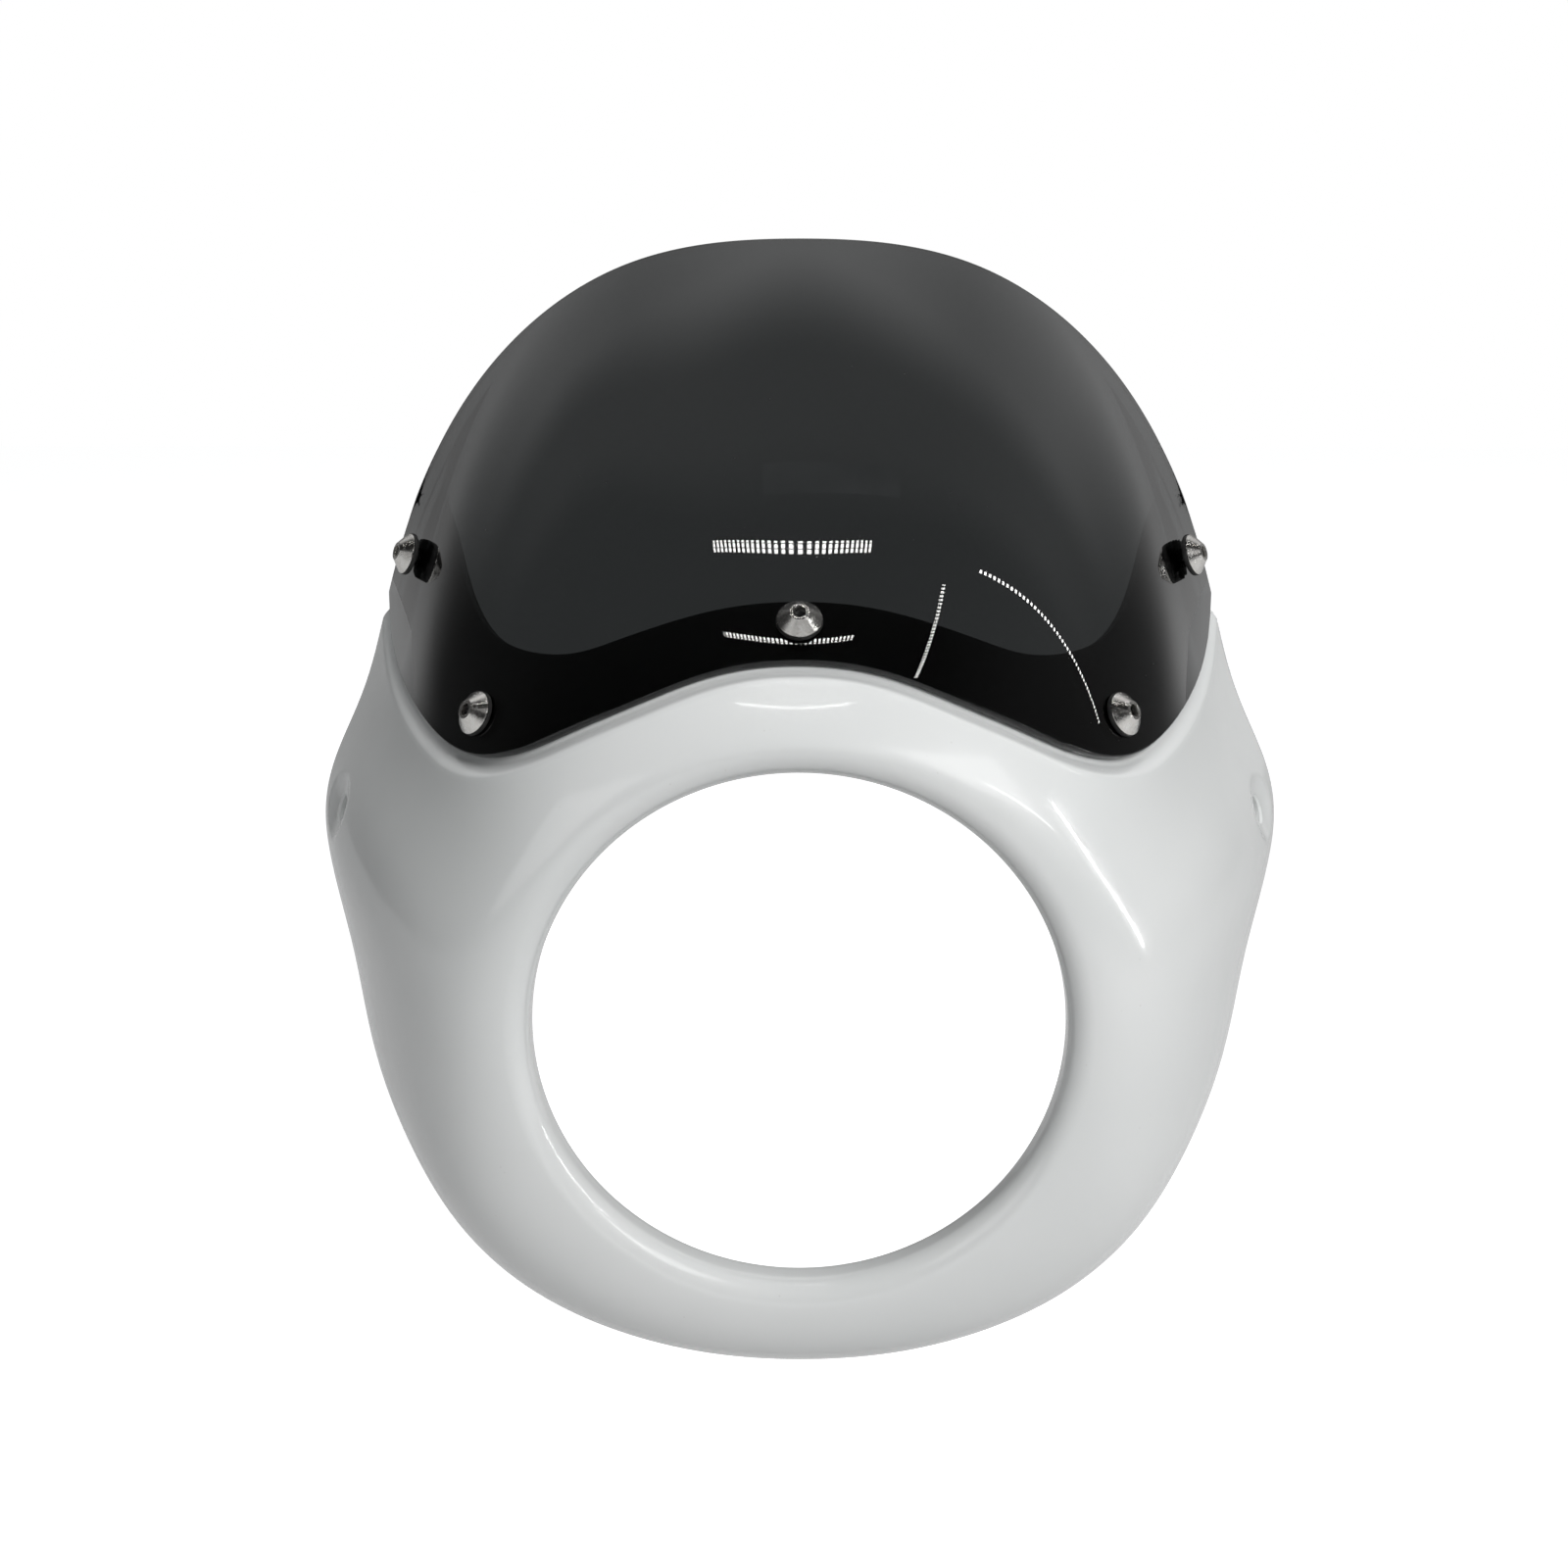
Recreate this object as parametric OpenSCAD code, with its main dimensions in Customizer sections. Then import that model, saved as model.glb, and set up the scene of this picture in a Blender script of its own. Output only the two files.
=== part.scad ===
// Headlight cowl for a round motorbike lamp, with a smoked windscreen held by five screws.
// Millimetres. The lamp axis is Y and the rider sits on the positive side of it.
// X runs to the right as seen from the front, Z runs up, and the origin is on the
// lamp axis, inside the bore that holds the lamp.
//
// The outer face is one smooth surface, written as face_at(angle, reach).
// The angle runs round the lamp axis: 0 is right, 90 is up, 270 is down.
// The reach runs from 0 at the lip to 1 at the rear edge.
// The shell and the screen are both laid on that surface, so their edges follow it.

/* [Part shown] */
// Name of the piece to draw, or all for the whole cowl

/* [Lamp opening] */
// Bore that the lamp rim slides into, across
lamp_bore_d = 147; // [138:0.5:156]
// How far the rolled lip stands out round the bore
lip_w = 7; // [5:0.5:10]
// How deep the roll of the lip is, front to back
lip_d = 6; // [4:0.5:9]
// Depth of the return tube, measured from the lip
tube_len = 12; // [10:0.5:20]

/* [Shell form] */
// Wall of the moulded shell
wall_t = 3; // [2.4:0.1:4]
// Distance from the lamp axis to the chin
chin_r = 110; // [106:1:120]
// Distance from the lamp axis to the flank, level with the lamp
flank_r = 135; // [128:1:144]
// Distance from the lamp axis to the shoulder, beside the screen
shoulder_r = 171; // [160:1:180]
// Distance from the lamp axis to the top of the screen
crown_r = 208; // [195:1:220]
// How far the ears bulge out from the flank
ear_bulge = 12; // [8:0.5:15]
// How far back the chin reaches
chin_y = 62; // [54:1:72]
// How far back the ears reach
ear_y = 118; // [108:1:126]
// How far back the top of the screen reaches
crown_y = 150; // [138:1:162]

/* [Windscreen] */
// Thickness of the smoked sheet
screen_t = 3; // [2:0.1:4]
// Air between the sheet and the seat behind it
seat_gap = 0.3; // [0.2:0.05:0.5]
// Gap between the sheet's lower edge and the step of the seat
edge_gap = 0.5; // [0.3:0.1:1.2]
// Width of the rounded step that leads down to the seat
step_w = 6.5; // [5:0.5:9]

/* [Ear pockets] */
// Width of the round dished pocket in each ear
pocket_d = 26; // [20:1:30]
// Depth of the pocket
pocket_depth = 2.4; // [1.5:0.1:3.5]
// Hole through the ear for the bracket bolt
ear_hole_d = 8.4; // [6.4:0.2:10.4]
// Pad behind the pocket, across
ear_pad_d = 22; // [18:1:28]
// Thickness of the ear at the hole
ear_pad_t = 6; // [5:0.5:9]

/* [Screen screws] */
// Head of the screw, across
head_d = 12.4; // [10:0.2:14]
// Height of the cone head
head_h = 3.4; // [2.6:0.1:4.4]
// Flat top of the cone, across
head_top_d = 5.6; // [5.2:0.1:7]
// Hex socket, across flats
socket_af = 3.4; // [3:0.1:4]
// Depth of the hex socket
socket_depth = 2.2; // [1.5:0.1:2.6]
// Thread of the screw, across
thread_d = 5; // [4:0.5:6]
// Length under the head
screw_len = 18; // [16:1:22]
// Hole in the screen and the seat for each screw
screw_hole_d = 5.8; // [5.4:0.1:7]

/* [Washers and nuts] */
// Black rubber washer, across
rubber_d = 12.8; // [11:0.2:14.6]
// Thickness of the rubber washer
rubber_t = 1.2; // [0.8:0.1:2]
// Plain washer behind the seat, across
washer_d = 10; // [9:0.5:12]
// Thickness of the plain washer
washer_t = 1; // [0.8:0.1:1.6]
// Nut, across flats
nut_af = 8; // [7:0.5:10]
// Height of the nut
nut_h = 4; // [3:0.1:5]

/* [Hidden] */

bore_r = lamp_bore_d / 2;
tube_r = bore_r - 0.4;
lip_r = tube_r + lip_w + 0.4;
// The lip stands this far in front of the origin
seat_y = tube_len - 4;
seat_drop = screen_t + seat_gap;
fit_gap = 0.05;
lay_gap = 0.12;
pad_gap = 0.25;

// Rear edge every 15 degrees from the chin (first) to the crown (last)
rim_r = [
    chin_r, chin_r + 1, chin_r + 5, chin_r + 11, flank_r - 8, flank_r - 1, flank_r + 0.5,
    flank_r + 6, shoulder_r - 18, shoulder_r, crown_r - 11.5, crown_r + 3.5, crown_r - 0.5
];
rim_y = [
    chin_y, chin_y, chin_y + 2, chin_y + 4, chin_y + 7, chin_y + 12, chin_y + 24,
    ear_y - 6, ear_y + 4, ear_y - 4, crown_y - 24, crown_y - 8, crown_y
];
// How far the face runs outwards before it turns back
front_reach = [28, 31, 37, 44, 44, 29, 28, 27, 24, 20, 16, 13, 12];
// Length and angle of the run into the rear edge
rear_reach = [30, 30, 30, 30, 32, 36, 42, 60, 66, 66, 66, 66, 66];
rear_turn = [90, 90, 89, 87, 84, 81, 78, 74, 68, 62, 55, 49, 46];
ear_angle = 14.3;
ear_spread = 11.7;

// Lower edge of the screen and the inner edge of the seat: angle and reach,
// from the middle line to the rear edge on the right hand side
screen_line = [
    [90, 0.265], [79.7, 0.261], [70.4, 0.252], [61.1, 0.256], [50.5, 0.299],
    [43.3, 0.355], [34.9, 0.492], [33, 0.876], [38.5, 1]
];
seat_line = [
    [90, 0.384], [81, 0.381], [72, 0.378], [63.5, 0.394], [56.5, 0.428],
    [49.2, 0.56], [48.2, 0.71], [50.8, 0.87], [50.2, 1]
];
line_n = len(screen_line) - 1;

// Numbers of steps in the grids
half_cols = 26;
low_cols = 46;
face_rows = 9;
step_rows = 4;
seat_rows = 3;
lip_rows = 4;
sheet_rows = 13;
up_cols = 2 * half_cols;
all_cols = up_cols + low_cols;
side_angle = 8;
line_turn = 2.4;

// Screw places: angle and reach
centre_at = [90, 0.336];
lower_at = [42.6, 0.5];
side_at = [44.3, 0.94];
ear_at = [16, 0.88];

// Smooth curve through a list of values, weights of the four nearest ones
function weights(f) = [
    pow(1 - f, 3) / 6,
    (3 * pow(f, 3) - 6 * f * f + 4) / 6,
    (-3 * pow(f, 3) + 3 * f * f + 3 * f + 1) / 6,
    pow(f, 3) / 6
];
function fold(k, n) = let (a = abs(k)) abs(a > n ? 2 * n - a : a);
function smooth_at(v, x) = let (
    i = floor(x),
    w = weights(x - i),
    n = len(v) - 1
) w[0] * v[fold(i - 1, n)] + w[1] * v[fold(i, n)] + w[2] * v[fold(i + 1, n)] + w[3] * v[fold(i + 2, n)];

// Angle from the middle line upwards, the same on both sides
function lift(a) = let (t = (a + 90) % 360) 90 - abs(t - 180);
function rim_at(a) = smooth_at(rim_r, (lift(a) + 90) / 15)
    + ear_bulge * exp(-pow((lift(a) - ear_angle) / ear_spread, 2));

// The outer face: a curve from the lip to the rear edge at each angle
function face_at(a, s) = let (
    x = (lift(a) + 90) / 15,
    re = rim_at(a),
    ye = smooth_at(rim_y, x),
    hb = smooth_at(rear_reach, x),
    ga = smooth_at(rear_turn, x),
    r1 = lip_r + smooth_at(front_reach, x),
    r2 = re - hb * cos(ga),
    y2 = ye - hb * sin(ga),
    q = 1 - s,
    r = q * q * q * lip_r + 3 * q * q * s * r1 + 3 * q * s * s * r2 + s * s * s * re,
    y = 3 * q * s * s * y2 + s * s * s * ye
) [r * cos(a), y - seat_y, r * sin(a)];
function unit(v) = v / norm(v);
function slope_s(a, s) = (face_at(a, s + 0.002) - face_at(a, s - 0.002)) / 0.004;
function slope_a(a, s) = (face_at(a + 0.1, s) - face_at(a - 0.1, s)) / 0.2;
function out_at(a, s) = unit(cross(slope_s(a, s), slope_a(a, s)));
function sunk(p, d) = face_at(p[0], p[1]) + d * out_at(p[0], p[1]);

// A point on a half line list, u from -line_n (left) to line_n (right)
function mirror_a(p) = [180 - p[0], p[1]];
function line_node(q, i) = i < 0 ? mirror_a(q[-i]) : i > line_n ? 2 * q[line_n] - q[line_n - 1] : q[i];
function half_line(q, u) = let (
    i = min(floor(u), line_n - 1),
    w = weights(u - i)
) w[0] * line_node(q, i - 1) + w[1] * line_node(q, i) + w[2] * line_node(q, i + 1) + w[3] * line_node(q, i + 2);
function line_at(q, u) = u < 0 ? mirror_a(half_line(q, -u)) : half_line(q, u);

// A line moved sideways along the face by d, outwards from the screen.
// Close to the rear edge the move turns to run along that edge.
function line_dir(u) = line_at(screen_line, min(u + 0.05, line_n)) - line_at(screen_line, max(u - 0.05, -line_n));
function moved(u, d) = let (
    p = line_at(screen_line, u),
    t = line_dir(u),
    ja = slope_a(p[0], p[1]),
    js = slope_s(p[0], p[1]),
    tv = ja * t[0] + js * t[1],
    g = [ja * tv, js * tv],
    n0 = [-g[1], g[0]],
    n = n0 / norm(ja * n0[0] + js * n0[1]),
    e = max(0, (abs(u) - line_n + 1.2) / 1.2),
    m = e > 0 ? n - (e * e * (3 - 2 * e)) * (n[1] / t[1]) * t : n
) p + d * m;

// Depth of the step at a distance d outside the screen's edge
function step_depth(d) = let (f = min(1, max(0, d / step_w))) -seat_drop * (1 - f * f * (3 - 2 * f));

// Grid columns: the upper ones follow the screen, the lower ones the rear edge
function col_u(k) = line_n * (1 - k / half_cols);
function low_spread(k) = let (x = 2 * (k - up_cols) / low_cols - 1) 1.35 * x - 0.35 * x * x * x;
corner_a = moved(line_n, step_w + 1)[0];
function col_turn(k) = k <= up_cols ? line_turn : 1.2 + (line_turn - 1.2) * pow(abs(low_spread(k)), 6);
function col_lip(k) = k <= up_cols
    ? let (u = col_u(k)) 90 - sign(u) * (90 - side_angle) * pow(abs(u) / line_n, 1.15)
    : let (x = low_spread(k)) 270 + (90 + corner_a) * x - (corner_a - side_angle) * sign(x) * pow(abs(x), 4);
function col_end(k) = k <= up_cols
    ? moved(col_u(k), step_w + 1)
    : [270 + (90 + corner_a) * low_spread(k), 1];

// Lip and tube, from the end of the tube to the front face
lip_path = concat(
    [[tube_r, tube_len, 90], [tube_r, (tube_len + lip_d) / 2, 90]],
    [for (i = [0:lip_rows - 1]) let (f = 90 * (1 - i / lip_rows))
        [lip_r - (lip_r - tube_r) * sin(f), lip_d * (1 - cos(f)), f]]
);
lip_n = len(lip_path);
function lip_point(a, i, t) = let (
    p = lip_path[i],
    r = p[0] + t * sin(p[2]),
    y = p[1] + t * cos(p[2])
) [r * cos(a), y - seat_y, r * sin(a)];

// Shell: points of one skin, at depth t behind the outer face
rows = lip_n + face_rows + 1;
extra = step_rows + seat_rows;
function shell_skin(t) = concat(
    [for (k = [0:all_cols - 1]) let (a = col_lip(k), q = col_end(k), turn = col_turn(k)) each concat(
        [for (i = [0:lip_n - 1]) lip_point(a, i, t)],
        [for (j = [0:face_rows]) let (f = j / face_rows)
            sunk([a + (q[0] - a) * pow(f, turn), q[1] * f], -t)]
    )],
    [for (k = [0:up_cols]) let (u = col_u(k), h = line_at(seat_line, u), p0 = line_at(screen_line, u)) each concat(
        [for (j = [1:step_rows]) let (d = step_w * (1 - j / step_rows)) sunk(moved(u, d), step_depth(d) - t)],
        [for (j = [1:seat_rows]) let (f = j / seat_rows) sunk(p0 * (1 - f) + h * f, -seat_drop - t)]
    )]
);
skin_n = all_cols * rows + (up_cols + 1) * extra;
function face_id(k, j) = (k % all_cols) * rows + j;
function seat_id(k, j) = j == 0 ? face_id(k, rows - 1) : all_cols * rows + k * extra + j - 1;
shell_pts = concat(shell_skin(0), shell_skin(wall_t));
function quad(a, b, c, d) = [[c, b, a], [d, c, a]];
// Each cell is split along its shorter diagonal, the same on both skins
function cell(v, a, b, c, d, n) = norm(v[a] - v[c]) < norm(v[b] - v[d])
    ? concat(quad(a, b, c, d), quad(a + n, d + n, c + n, b + n))
    : concat(quad(b, c, d, a), quad(b + n, a + n, d + n, c + n));
function both(a, b, c, d) = cell(shell_pts, a, b, c, d, skin_n);
function rim_wall(a, b) = quad(b, a, a + skin_n, b + skin_n);
shell_faces = concat(
    [for (k = [0:all_cols - 1]) for (j = [0:rows - 2])
        each both(face_id(k, j), face_id(k, j + 1), face_id(k + 1, j + 1), face_id(k + 1, j))],
    [for (k = [0:up_cols - 1]) for (j = [0:extra - 1])
        each both(seat_id(k, j), seat_id(k, j + 1), seat_id(k + 1, j + 1), seat_id(k + 1, j))],
    [for (k = [0:all_cols - 1]) each rim_wall(face_id(k + 1, 0), face_id(k, 0))],
    [for (k = [up_cols:all_cols - 1]) each rim_wall(face_id(k, rows - 1), face_id(k + 1, rows - 1))],
    [for (k = [0:up_cols - 1]) each rim_wall(seat_id(k, extra), seat_id(k + 1, extra))],
    [for (j = [0:extra - 1]) each rim_wall(seat_id(0, j), seat_id(0, j + 1))],
    [for (j = [0:extra - 1]) each rim_wall(seat_id(up_cols, j + 1), seat_id(up_cols, j))]
);

// Screen: a sheet from the screen line to the rear edge
crown_half = 42;
function sheet_skin(t) = [
    for (k = [0:up_cols]) let (u = col_u(k), p0 = moved(u, -edge_gap), p1 = [90 - crown_half * u / line_n, 1])
        for (j = [0:sheet_rows]) let (f = j / sheet_rows) sunk(p0 * (1 - f) + p1 * f, -t)
];
sheet_n = (up_cols + 1) * (sheet_rows + 1);
function sheet_id(k, j) = k * (sheet_rows + 1) + j;
sheet_pts = concat(sheet_skin(0), sheet_skin(screen_t));
function pair(a, b, c, d) = cell(sheet_pts, a, b, c, d, sheet_n);
function edge_wall(a, b) = quad(b, a, a + sheet_n, b + sheet_n);
sheet_faces = concat(
    [for (k = [0:up_cols - 1]) for (j = [0:sheet_rows - 1])
        each pair(sheet_id(k, j), sheet_id(k, j + 1), sheet_id(k + 1, j + 1), sheet_id(k + 1, j))],
    [for (k = [0:up_cols - 1]) each edge_wall(sheet_id(k + 1, 0), sheet_id(k, 0))],
    [for (k = [0:up_cols - 1]) each edge_wall(sheet_id(k, sheet_rows), sheet_id(k + 1, sheet_rows))],
    [for (j = [0:sheet_rows - 1]) each edge_wall(sheet_id(0, j), sheet_id(0, j + 1))],
    [for (j = [0:sheet_rows - 1]) each edge_wall(sheet_id(up_cols, j + 1), sheet_id(up_cols, j))]
);

// Stands a child on the face at a place, its Z axis pointing out of the face
module stand(at) {
    p = face_at(at[0], at[1]);
    z = out_at(at[0], at[1]);
    x = unit(cross([0, 0, 1], z));
    y = cross(z, x);
    multmatrix([
        [x[0], y[0], z[0], p[0]],
        [x[1], y[1], z[1], p[1]],
        [x[2], y[2], z[2], p[2]],
        [0, 0, 0, 1]
    ]) children();
}

module rod(d, from, to) {
    translate([0, 0, from]) cylinder(d = d, h = to - from, $fn = 48);
}

module at_screws() {
    stand(centre_at) children();
    stand(lower_at) children();
    stand(mirror_a(lower_at)) children();
    stand(side_at) children();
    stand(mirror_a(side_at)) children();
}

module at_ears() {
    stand(ear_at) children();
    stand(mirror_a(ear_at)) children();
}

pocket_r = (pow(pocket_d / 2, 2) + pow(pocket_depth, 2)) / (2 * pocket_depth);

module cowl_shell() {
    color([0.93, 0.93, 0.92])
    difference() {
        union() {
            polyhedron(shell_pts, shell_faces, convexity = 8);
            at_ears() rod(ear_pad_d, -pocket_depth - ear_pad_t, -pocket_depth - 0.1);
        }
        translate([0, -seat_y - 1, 0]) rotate([-90, 0, 0]) cylinder(r = bore_r, h = tube_len + 2, $fn = 180);
        at_ears() translate([0, 0, pocket_r - pocket_depth]) sphere(r = pocket_r, $fn = 96);
        at_ears() rod(ear_hole_d, -pocket_depth - ear_pad_t - 1, 4);
        at_screws() rod(screw_hole_d, -seat_drop - wall_t - 3, 1);
    }
}

module windscreen() {
    color([0.12, 0.12, 0.13, 0.7])
    difference() {
        polyhedron(sheet_pts, sheet_faces, convexity = 6);
        at_screws() rod(screw_hole_d, -screen_t - 3, 3);
    }
}

module screw() {
    color([0.72, 0.71, 0.69])
    translate([0, 0, rubber_t + lay_gap + fit_gap])
    difference() {
        union() {
            cylinder(d = head_d, h = 0.4, $fn = 64);
            translate([0, 0, 0.4]) cylinder(d1 = head_d, d2 = head_top_d, h = head_h - 0.4, $fn = 64);
            rod(thread_d, -screw_len, 0.1);
        }
        translate([0, 0, head_h - socket_depth]) cylinder(d = socket_af / cos(30), h = socket_depth + 1, $fn = 6);
    }
}

module ring(d, hole, from, to) {
    difference() {
        rod(d, from, to);
        rod(hole, from - 1, to + 1);
    }
}

module rubber_washer() {
    color([0.05, 0.05, 0.05])
    ring(rubber_d, thread_d + 2 * fit_gap, lay_gap, lay_gap + rubber_t);
}

back_z = -seat_drop - wall_t - pad_gap;

module plain_washer() {
    color([0.75, 0.75, 0.74])
    ring(washer_d, thread_d + 0.3, back_z - washer_t, back_z);
}

module hex_nut() {
    color([0.68, 0.68, 0.67])
    translate([0, 0, back_z - washer_t - fit_gap - nut_h])
    difference() {
        intersection() {
            cylinder(d = nut_af / cos(30), h = nut_h, $fn = 6);
            cylinder(d1 = nut_af + nut_h * 2, d2 = nut_af * 0.96, h = nut_h + 0.01, $fn = 64);
            cylinder(d1 = nut_af * 0.96, d2 = nut_af + nut_h * 2, h = nut_h + 0.01, $fn = 64);
        }
        translate([0, 0, -1]) cylinder(d = thread_d + 2 * fit_gap, h = nut_h + 2, $fn = 48);
    }
}

module screw_centre() {
    stand(centre_at) screw();
}

module screw_lower_left() {
    stand(mirror_a(lower_at)) screw();
}

module screw_lower_right() {
    stand(lower_at) screw();
}

module screw_side_left() {
    stand(mirror_a(side_at)) screw();
}

module screw_side_right() {
    stand(side_at) screw();
}

module rubber_washer_centre() {
    stand(centre_at) rubber_washer();
}

module rubber_washer_lower_left() {
    stand(mirror_a(lower_at)) rubber_washer();
}

module rubber_washer_lower_right() {
    stand(lower_at) rubber_washer();
}

module rubber_washer_side_left() {
    stand(mirror_a(side_at)) rubber_washer();
}

module rubber_washer_side_right() {
    stand(side_at) rubber_washer();
}

module plain_washer_centre() {
    stand(centre_at) plain_washer();
}

module plain_washer_lower_left() {
    stand(mirror_a(lower_at)) plain_washer();
}

module plain_washer_lower_right() {
    stand(lower_at) plain_washer();
}

module plain_washer_side_left() {
    stand(mirror_a(side_at)) plain_washer();
}

module plain_washer_side_right() {
    stand(side_at) plain_washer();
}

module nut_centre() {
    stand(centre_at) hex_nut();
}

module nut_lower_left() {
    stand(mirror_a(lower_at)) hex_nut();
}

module nut_lower_right() {
    stand(lower_at) hex_nut();
}

module nut_side_left() {
    stand(mirror_a(side_at)) hex_nut();
}

module nut_side_right() {
    stand(side_at) hex_nut();
}

cowl_shell();
windscreen();
screw_centre();
screw_lower_left();
screw_lower_right();
screw_side_left();
screw_side_right();
rubber_washer_centre();
rubber_washer_lower_left();
rubber_washer_lower_right();
rubber_washer_side_left();
rubber_washer_side_right();
plain_washer_centre();
plain_washer_lower_left();
plain_washer_lower_right();
plain_washer_side_left();
plain_washer_side_right();
nut_centre();
nut_lower_left();
nut_lower_right();
nut_side_left();
nut_side_right();
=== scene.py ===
# %% [markdown]
# # A headlight cowl with a smoked windscreen
#
# The real thing is a white moulded shell that slips round a round lamp, with a
# dark clear sheet held on it by five cone headed screws. The CAD model fixes all
# sizes and places. Here each piece gets the finish and the small roundings that
# make it look real. We load the CAD first, so that every later cell can ask it.

# %% Load the CAD frame
import math
import bmesh
import bpy
import numpy as np
from mathutils import Matrix, Vector


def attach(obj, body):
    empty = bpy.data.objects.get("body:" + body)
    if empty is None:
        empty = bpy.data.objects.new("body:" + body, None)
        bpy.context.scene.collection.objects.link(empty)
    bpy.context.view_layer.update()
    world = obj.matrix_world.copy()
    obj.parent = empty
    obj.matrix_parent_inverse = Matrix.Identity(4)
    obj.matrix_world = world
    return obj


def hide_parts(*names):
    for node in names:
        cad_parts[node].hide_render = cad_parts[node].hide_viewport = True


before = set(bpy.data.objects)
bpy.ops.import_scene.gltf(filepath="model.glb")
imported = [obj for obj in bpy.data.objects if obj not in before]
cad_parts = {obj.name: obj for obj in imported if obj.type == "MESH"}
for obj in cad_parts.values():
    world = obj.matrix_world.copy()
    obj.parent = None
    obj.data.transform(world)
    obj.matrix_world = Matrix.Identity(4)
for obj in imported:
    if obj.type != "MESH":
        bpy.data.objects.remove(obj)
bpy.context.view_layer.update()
print("CAD nodes:", len(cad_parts))

# %% [markdown]
# ## The camera
#
# The photograph was taken from a little above the lamp axis, close enough that the
# opening looks like an egg. A plain 50 mm lens at 0.6 m gives the same view. The
# place comes from the opening's ellipse: its flattening tells the height, and the
# size of its image tells the distance.

# %% Camera
eye = Vector((0.0, -0.5663, 0.2199))
look_down = math.radians(14.85)
look_left = math.radians(0.41)
camera_data = bpy.data.cameras.new("camera")
camera_data.lens = 50.5
camera_data.sensor_width = 36.0
camera = bpy.data.objects.new("camera", camera_data)
camera.location = eye
camera.rotation_euler = (math.pi / 2 - look_down, 0, look_left)
bpy.context.scene.collection.objects.link(camera)
bpy.context.scene.camera = camera
bpy.context.scene.view_settings.view_transform = "Standard"
print("camera", tuple(round(c, 3) for c in camera.location))

# %% [markdown]
# ## One smooth face for shell and screen
#
# The shell and the sheet share one flowing surface, as the real ones are drawn over
# one form. It is written as a place for each angle round the lamp axis and each
# reach from the lip (0) to the rear edge (1). Every angle has its own short curve
# with four control points, and the numbers of those curves run smoothly round the
# lamp. A mesh could be pushed about by hand instead, but a formula gives a surface
# with no dents, which matters on a glossy thing.

# %% Sizes, in millimetres, the same as in the CAD source
LIP_R = 80.5
BORE_R = 73.5
LIP_D = 6.0
TUBE_LEN = 12.0
ORIGIN_BACK = 8.0
WALL = 3.0
SHEET = 3.0
SEAT_DROP = 3.3
WASHER_D = 10.0
EDGE_GAP = 0.5
STEP_W = 6.5
RIM_R = np.array([110, 111, 115, 121, 127, 134, 135.5, 141, 153, 171, 196.5, 211.5, 207.5])
RIM_Y = np.array([62, 62, 64, 66, 69, 74, 86, 112, 122, 114, 126, 142, 150.0])
FRONT_REACH = np.array([28, 31, 37, 44, 44, 29, 28, 27, 24, 20, 16, 13, 12.0])
REAR_REACH = np.array([30, 30, 30, 30, 32, 36, 42, 60, 66, 66, 66, 66, 66.0])
REAR_TURN = np.array([90, 90, 89, 87, 84, 81, 78, 74, 68, 62, 55, 49, 46.0])
CAD_FORM = (RIM_R, RIM_Y, REAR_REACH, REAR_TURN)
EAR_BULGE = 12.0
SCREEN_LINE = np.array([
    [90, 0.265], [79.7, 0.261], [70.4, 0.252], [61.1, 0.256], [50.5, 0.299],
    [43.3, 0.355], [34.9, 0.492], [33, 0.876], [38.5, 1]])
SEAT_LINE = np.array([
    [90, 0.384], [81, 0.381], [72, 0.378], [63.5, 0.394], [56.5, 0.428],
    [49.2, 0.56], [48.2, 0.71], [50.8, 0.87], [50.2, 1]])
ENDS = len(SCREEN_LINE) - 1
CROWN_HALF = 42.0
print("face parameters:", len(RIM_R), "angles, line points:", ENDS + 1)

# %% The face and its outward direction
def curve_weights(f):
    return ((1 - f) ** 3 / 6, (3 * f ** 3 - 6 * f * f + 4) / 6,
            (-3 * f ** 3 + 3 * f * f + 3 * f + 1) / 6, f ** 3 / 6)

def smooth_list(values, x):
    """Reads a list of values as a smooth curve, mirrored at both ends."""
    base = np.floor(x).astype(int)
    last = len(values) - 1
    total = 0
    for step, weight in enumerate(curve_weights(x - base)):
        k = np.abs(base - 1 + step)
        total = total + weight * values[np.abs(np.where(k > last, 2 * last - k, k))]
    return total

def lift(angle):
    return 90 - np.abs(np.mod(angle + 90, 360) - 180)

def face_at(angle, reach, form=CAD_FORM):
    """Place on the outer face, in millimetres."""
    rim_r, rim_y, rear_reach, rear_turn = form
    angle = np.asarray(angle, float)
    s = np.asarray(reach, float)
    high = lift(angle)
    x = (high + 90) / 15
    rim = smooth_list(rim_r, x) + EAR_BULGE * np.exp(-((high - 14.3) / 11.7) ** 2)
    back = smooth_list(rim_y, x)
    pull = smooth_list(rear_reach, x)
    turn = np.radians(smooth_list(rear_turn, x))
    r1 = LIP_R + smooth_list(FRONT_REACH, x)
    r2 = rim - pull * np.cos(turn)
    y2 = back - pull * np.sin(turn)
    q = 1 - s
    r = q ** 3 * LIP_R + 3 * q * q * s * r1 + 3 * q * s * s * r2 + s ** 3 * rim
    y = 3 * q * s * s * y2 + s ** 3 * back - ORIGIN_BACK
    t = np.radians(angle)
    return np.stack([r * np.cos(t), y, r * np.sin(t)], -1)

def along_reach(a, s, form=CAD_FORM):
    return (face_at(a, s + 0.002, form) - face_at(a, s - 0.002, form)) / 0.004

def along_angle(a, s, form=CAD_FORM):
    return (face_at(a + 0.1, s, form) - face_at(a - 0.1, s, form)) / 0.2

def out_at(a, s, form=CAD_FORM):
    n = np.cross(along_reach(a, s, form), along_angle(a, s, form))
    return n / np.linalg.norm(n, axis=-1, keepdims=True)

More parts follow.
